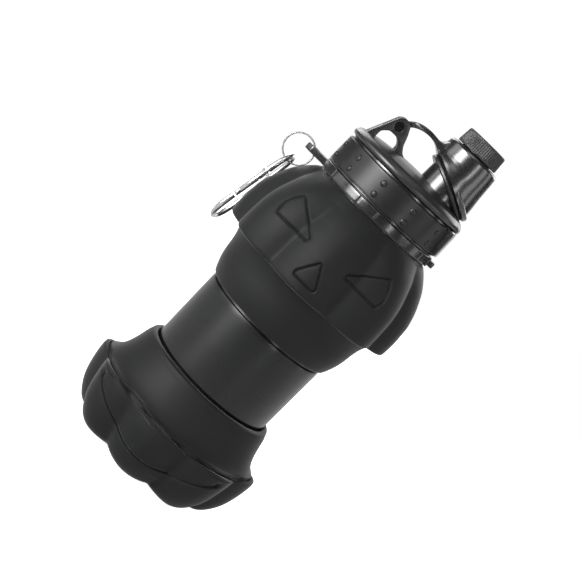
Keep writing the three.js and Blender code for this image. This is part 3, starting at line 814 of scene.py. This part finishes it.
PIVOT = (-20.5, 200.8)          # x and z of the pin the cover turns on
LUG = rounded([(-30.6, 187.0), (-29.6, 190.2, 3), (-25.4, 199.4, 12), (-23.2, 204.3, 2.6), (-20.6, 206.0, 3.2),
               (-17.0, 205.1, 3.4), (-14.6, 200.4, 8), (-12.8, 195.6, 6), (-10.6, 192.8, 4), (-7.6, 191.6),
               (-7.6, 187.0)], 6, True)
HOLE = rounded([(-25.6, 188.2, 1), (-25.6, 193.9, 2.8), (-22.6, 196.6, 3), (-17.2, 196.6, 3),
                (-14.9, 193.9, 2.8), (-14.9, 188.2, 1)], 6, True)
WEB = rounded([(-30.4, 187.0), (-29.4, 190.2, 3), (-26.6, 196.4), (-24.4, 196.4, 0.8), (-25.4, 193.9),
               (-25.4, 188.2)], 4, True)
WEB_RIGHT = rounded([(-15.1, 188.2), (-15.1, 193.9), (-17.0, 196.3, 0.8), (-13.2, 196.3), (-12.6, 195.0, 6),
                     (-10.4, 192.7, 4), (-7.6, 191.4), (-7.6, 187.0)], 4, True)
cheek_holes = [HOLE, circle(*PIVOT, 2.3, 36)]
cheeks = [outline_solid("cheek", LUG, cheek_holes, -3.5, -1.5, SATIN, 0.35),
          outline_solid("cheek", LUG, cheek_holes, 1.5, 3.5, SATIN, 0.35),
          outline_solid("web", WEB, [], -1.6, 1.6, SATIN, 0.1),
          outline_solid("web_right", WEB_RIGHT, [], -1.6, 1.6, SATIN, 0.1)]
lid_top = join([plate, flange], "lid_top_skin")
lug = join(cheeks, "lug_skin")
place(lid_top, "lid", "satin_plastic", "lid_top", turn=YAW)
place(lug, "lid", "satin_plastic", "lanyard_lug", turn=YAW)
place(seat_wall, "lid", "satin_plastic", turn=YAW)


def cross_pin(name, profile, x, z, material, steps):
    """A turned pin along Y through (x, z); profile is (radius, y)."""
    X, Y, Z = sweep_grid(profile, even(steps))
    verts = np.stack([X.ravel() + x, -Z.ravel(), Y.ravel() + z], 1)
    return mesh_object(name, verts, grid_faces(*X.shape, False) + end_caps(*X.shape), material)


pin_half = rounded([(1.0, 2.7), (1.1, 3.1, 0.1), (2.2, 3.1, 0.25), (2.2, 2.85, 0.1), (1.5, 2.85), (1.5, 0)], 4)
pin = cross_pin("pin_skin", [(0.01, -2.7)] + [(r, -y) for r, y in pin_half] + pin_half[-2::-1] + [(0.01, 2.7)],
                *PIVOT, DARK, 48)
place(pin, "lid", "satin_plastic", "hinge_pin", turn=YAW)

# ------------------------------------------------------------------ flip cover
COVER_FOOT_Z = 186.0            # the wall is drawn down to here and then ended at the slanted seam
COVER_CUT_TOP = 208.4
cover_wall_profile = resample(
    [(15.0, COVER_FOOT_Z)]
    + spline([(16.6, COVER_FOOT_Z), (16.1, 193.4), (15.3, 201.4), (14.95, 206.3), (14.65, 210.6),
              (14.45, 212.4)], 40)
    + rounded([(14.45, 212.4), (14.2, 215.1, 2.2), (11.0, 215.6, 1.0), (8.4, 215.6, 0.3), (8.4, 216.2),
               (8.4, 220.9, 0.3), (7.9, 221.2, 0.2), (6.6, 221.2, 0.3), (6.6, 213.1, 0.4), (11.0, 212.6, 1.2),
               (12.4, 210.4, 1.0), (12.9, 206.3), (13.6, 193.4), (15.0, COVER_FOOT_Z)], 6)[1:-1], 0.7)


def cover_cut(X, Y, Z):
    """Ends the cover's wall at the slanted seam."""
    cx, cz, tilt = SEAT
    X, Y, Z = at_spout(X, Y, Z)
    low = cz + (0.5 - (X - cx) * math.sin(tilt)) / math.cos(tilt)
    top = COVER_CUT_TOP
    return X, Y, np.where(Z < top, top - (top - Z) * (top - low) / (top - COVER_FOOT_Z), Z)


cover_wall = swept("cover_wall", cover_wall_profile, even(240), COVER, move=cover_cut)
SEAM_OVAL = (17.6, 16.2)
rim = swept("cover_rim", resample(rounded([
    (-3.2, 0.5, 0.2), (-0.2, 0.5, 0.5), (0.15, 2.9, 0.9), (-2.6, 3.3, 0.4)], 5, True), 1.2),
    even(240), GLOSS, oval(*SEAM_OVAL), move=to_seat)
ARM = spline([(-21.6, 202.6), (-19.4, 205.2), (-16.1, 207.7), (-12.6, 209.1), (-8.0, 209.7), (-4.6, 209.5),
              (-2.2, 209.3), (-0.2, 209.8), (1.2, 211.6), (2.6, 213.4)], 40)
ARM_UNDER = spline([(2.6, 203.6), (0.6, 204.9), (-2.2, 206.4), (-4.6, 207.1), (-8.0, 207.3), (-12.2, 206.5),
                    (-15.6, 204.7), (-17.6, 202.4)], 40)
ARM_HALF = 1.2


def arm_half_width(x):
    """The arm is narrow between the cheeks and widens towards the cover."""
    return np.interp(x, [-16.4, -13.2, -9, 0, 3], [1.2, 2.6, 3.9, 4.3, 4.6])


arm = outline_solid("cover_arm", ARM + ARM_UNDER, [], -ARM_HALF, ARM_HALF, GLOSS, 0.5)
for v in arm.data.vertices:
    v.co.y = v.co.y * float(arm_half_width(v.co.x * 1000)) / ARM_HALF
eye = outline_solid("arm_eye", circle(*PIVOT, 3.4, 40), [circle(*PIVOT, 1.6, 30)],
                    -ARM_HALF, ARM_HALF, GLOSS, 0.25)
cover = join([cover_wall, rim, arm, eye], "cover_skin")
place(cover, "cover", "gloss_plastic", "flip_cover", turn=YAW)

seal = swept("seal_skin", resample(rounded([
    (-3.6, -0.35, 0.1), (-1.2, -0.35, 0.2), (-1.2, 0.35, 0.2), (-3.6, 0.35, 0.1)], 3, True), 1),
    even(160), DARK, oval(*SEAM_OVAL), move=to_seat)
place(seal, "cover", "seal_rubber", "spout_seal", turn=YAW)


# ------------------------------------------------------------------ knurled cap
CAP_RIBS = 62


def knurl(A, R, Z):
    """Cuts upright ribs into the cap's side."""
    wave = 0.5 + 0.5 * np.cos(A * CAP_RIBS)
    fade = np.clip((Z - 216.6) / 0.6, 0, 1) * np.clip((223.4 - Z) / 0.6, 0, 1)
    return np.where((R > 10.2) & (Z > 216.3), R - 0.3 * (1 - wave**0.8) * fade, R), Z


cap = swept("cap_skin", resample(
    [(0.01, 222.6), (6, 222.6)]
    + rounded([(6, 222.6), (9.0, 222.6, 0.3), (9.0, 216.0, 0.3), (11.55, 216.0, 0.3), (11.6, 216.5, 0.1),
               (11.0, 223.6, 0.3), (10.5, 224.0, 0.5), (9.6, 224.0), (9.3, 223.75, 0.3), (4, 223.75)], 5)[1:]
    + [(0.01, 223.75)], 0.6), even(CAP_RIBS * 12), CAPMAT, knurl, False, 40, at_spout)
place(cap, "cap", "satin_plastic", "screw_cap", turn=YAW)
liner_rim = rounded([(4, 221.5), (8.6, 221.5, 0.3), (8.6, 222.3, 0.3), (4, 222.3)], 4)
liner = swept("liner_skin", [(0.01, 221.5)] + liner_rim + [(0.01, 222.3)], even(96), DARK,
              closed=False, move=at_spout)
place(liner, "liner", "seal_rubber", "cap_liner", turn=YAW)

# ------------------------------------------------------------------ key ring
RING_X, RING_Z, RING_RADIUS = -46.6, 160.6, 7.7
COIL_STEPS = 240
coil = []
for i in range(COIL_STEPS + 1):
    t = i / COIL_STEPS
    a = math.radians(-60) + t * 4 * math.pi * 0.985
    across = min(1, max(0, (t - 0.44) / 0.12))
    y = -0.42 + 0.84 * (0.5 - 0.5 * math.cos(math.pi * across))
    coil.append((RING_X + RING_RADIUS * math.cos(a), y, RING_Z + RING_RADIUS * math.sin(a)))
key_ring = tube_mesh("key_ring_skin", coil, 0.4, STEEL, 12)
place(key_ring, "key_ring", "chrome", "key_ring")

# ------------------------------------------------------------------ carabiner
HOOK_TOP = (-47.12, 0, RING_Z - RING_RADIUS + 0.5 + 0.2 + 1.2)
HOOK_TILT, HOOK_YAW = math.radians(9.8), math.radians(-99)
HOOK_TURN = Matrix.Rotation(HOOK_TILT, 4, "Y") @ Matrix.Rotation(HOOK_YAW, 4, "Z")


def hook_place(obj, body, *nodes):
    """Leans a piece drawn in X and Z outwards, hangs it from the key ring and gives it its body."""
    obj.data.transform(Matrix.Translation(Vector(HOOK_TOP) * MM) @ HOOK_TURN
                       @ Matrix.Translation((-0.003, 0, 0.001)))
    return place(obj, body, "chrome", *nodes)


HOOK_PATH = [(7.5, -12.0), (7.1, -8.0), (5.4, -3.0), (1.8, -0.2), (-2.4, -0.3), (-5.6, -3.2), (-7.0, -8.0),
             (-7.8, -18.0), (-8.6, -30.0), (-8.9, -38.0), (-7.4, -43.4), (-3.4, -46.6), (1.2, -47.0),
             (5.8, -44.8), (8.4, -40.4), (8.8, -36.0), (8.6, -32.3)]
HOOK_STEPS = 150
HOOK_RADII = [(0, 1.55), (0.06, 1.35), (0.16, 1.2), (0.5, 1.3), (0.84, 1.3), (0.93, 1.55), (1.0, 1.4)]
path = [(x, 0.0, z) for x, z in spline(HOOK_PATH, HOOK_STEPS)]
hook = tube_mesh("hook_wire", path, levels(HOOK_RADII, np.linspace(0, 1, HOOK_STEPS)), CHROME, 24)
TONGUE = rounded([(6.4, -11.0), (8.7, -11.0), (8.8, -14.6, 1.1), (6.5, -15.4, 1.1)], 6, True)
tongue = outline_solid("hook_tongue", TONGUE, [], -0.65, 0.65, CHROME, 0.15)
hook = join([hook, tongue], "hook_skin")
hook_place(hook, "carabiner", "carabiner_body")


def gate_point(t):
    """A point t millimetres down the gate's own axis."""
    a = math.radians(2.9)
    return 7.53 + math.sin(a) * t, 0.0, -12.9 - math.cos(a) * t


# How far down the gate, and its radius there: the eye, a groove, the body, a fine line and the tip.
GATE_ROWS = [(0.0, 1.0), (0.25, 1.3), (5.0, 1.38), (5.15, 1.1), (5.75, 1.1), (5.9, 1.38), (15.4, 1.34),
             (15.5, 1.24), (15.8, 1.24), (15.9, 1.32), (18.3, 1.28), (18.6, 1.0)]
gate = tube_mesh("gate_skin", [gate_point(t) for t in pick(GATE_ROWS, 0)], pick(GATE_ROWS, 1), CHROME, 28)
hook_place(gate, "gate", "carabiner_gate")


rivet_profile = ([(0.01, -1.95)]
                 + rounded([(0.3, -1.95), (0.8, -1.8, 0.2), (0.8, -1.6, 0.05), (0.55, -1.6), (0.55, 1.6),
                            (0.8, 1.6, 0.05), (0.8, 1.8, 0.2), (0.3, 1.95)], 3) + [(0.01, 1.95)])
rivet = cross_pin("gate_rivet", rivet_profile, 7.5, -14.0, CHROME, 28)
hook_place(rivet, "carabiner", "gate_pin")

# ------------------------------------------------------------------ floor and light
FLOOR = 6                       # half the side of the floor, in metres
floor_mesh = bpy.data.meshes.new("floor")
floor_mesh.from_pydata([(-FLOOR, -FLOOR, 0), (FLOOR, -FLOOR, 0), (FLOOR, FLOOR, 0), (-FLOOR, FLOOR, 0)],
                       [], [(0, 1, 2, 3)])
floor_mat, floor_shader = principled("floor_white", (0.85, 0.85, 0.85), 0.9, Specular_IOR_Level=0.0)
floor_shader.inputs["Emission Color"].default_value = (1, 1, 1, 1)
floor_nodes, floor_links = floor_mat.node_tree.nodes, floor_mat.node_tree.links
floor_ray = floor_nodes.new("ShaderNodeLightPath")
floor_glow = floor_nodes.new("ShaderNodeMapRange")
floor_glow.inputs["To Min"].default_value = 0.05
floor_glow.inputs["To Max"].default_value = 0.975
floor_links.new(floor_ray.outputs["Is Camera Ray"], floor_glow.inputs["Value"])
floor_links.new(floor_glow.outputs["Result"], floor_shader.inputs["Emission Strength"])
floor_mesh.materials.append(floor_mat)
floor = bpy.data.objects.new("floor", floor_mesh)
scene.collection.objects.link(floor)
floor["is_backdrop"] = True

world = bpy.data.worlds.new("world")
scene.world = world
world.use_nodes = True
nodes, links = world.node_tree.nodes, world.node_tree.links
back = nodes["Background"]
back.inputs["Color"].default_value = (1, 1, 1, 1)
back.inputs["Strength"].default_value = 0.04
seen = nodes.new("ShaderNodeBackground")
seen.inputs["Color"].default_value = (1, 1, 1, 1)
seen.inputs["Strength"].default_value = 1.05
mix = nodes.new("ShaderNodeMixShader")
ray = nodes.new("ShaderNodeLightPath")
links.new(ray.outputs["Is Camera Ray"], mix.inputs[0])
links.new(back.outputs[0], mix.inputs[1])
links.new(seen.outputs[0], mix.inputs[2])
links.new(mix.outputs[0], nodes["World Output"].inputs["Surface"])


def softbox(name, azimuth, elevation, distance, width, height, power, aim=(0, 0, 0.115), spread=180):
    """A rectangular lamp; azimuth 0 is in front of the bottle, positive to its right.

    Sizes and distances are in metres, angles in degrees.
    """
    lamp = bpy.data.lights.new(name, "AREA")
    lamp.shape = "RECTANGLE"
    lamp.size, lamp.size_y = width, height
    lamp.energy = power
    lamp.spread = math.radians(spread)
    obj = bpy.data.objects.new(name, lamp)
    scene.collection.objects.link(obj)
    a, e = math.radians(azimuth), math.radians(elevation)
    at = Vector(aim) + Vector((math.sin(a) * math.cos(e), -math.cos(a) * math.cos(e), math.sin(e))) * distance
    obj.matrix_world = Matrix.Translation(at) @ (Vector(aim) - at).to_track_quat("-Z", "Y").to_matrix().to_4x4()
    obj.visible_camera = False
    obj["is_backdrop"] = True


softbox("key_left", -47, 10, 1.1, 0.42, 0.7, 2.15, (0, 0, 0.18), 66)
softbox("wide_left", -78, 10, 1.1, 0.4, 0.9, 0.45, (0, 0, 0.17), 70)
softbox("dome_light", -35, 8, 1.1, 0.5, 0.4, 0.45, (0, 0, 0.19), 32)
softbox("side_left", -92, 6, 0.9, 0.12, 1.0, 0.7, (0, 0, 0.13), 180)
softbox("strip_right", 36, 10, 1.3, 0.12, 0.8, 1.4, (0, 0, 0.16), 120)
softbox("right_fill", 70, 15, 1.2, 0.4, 0.8, 1.0, (0, 0, 0.16), 120)
softbox("rim_right", 100, 8, 0.9, 0.2, 1.0, 1.3)
softbox("high_front", -20, 50, 1.0, 0.5, 0.5, 0.3, (0, 0, 0.18), 60)
softbox("backdrop", 180, 10, 1.2, 1.4, 0.9, 5)
softbox("back_left", -146, 28, 1.2, 0.5, 0.7, 4)
softbox("back_right", 146, 28, 1.2, 0.5, 0.7, 4)
softbox("top", 0, 82, 1.0, 0.5, 0.5, 0.7)

scene.view_settings.view_transform = "Standard"
scene.view_settings.look = "None"

sizes["at_end"] = plain_bounds()
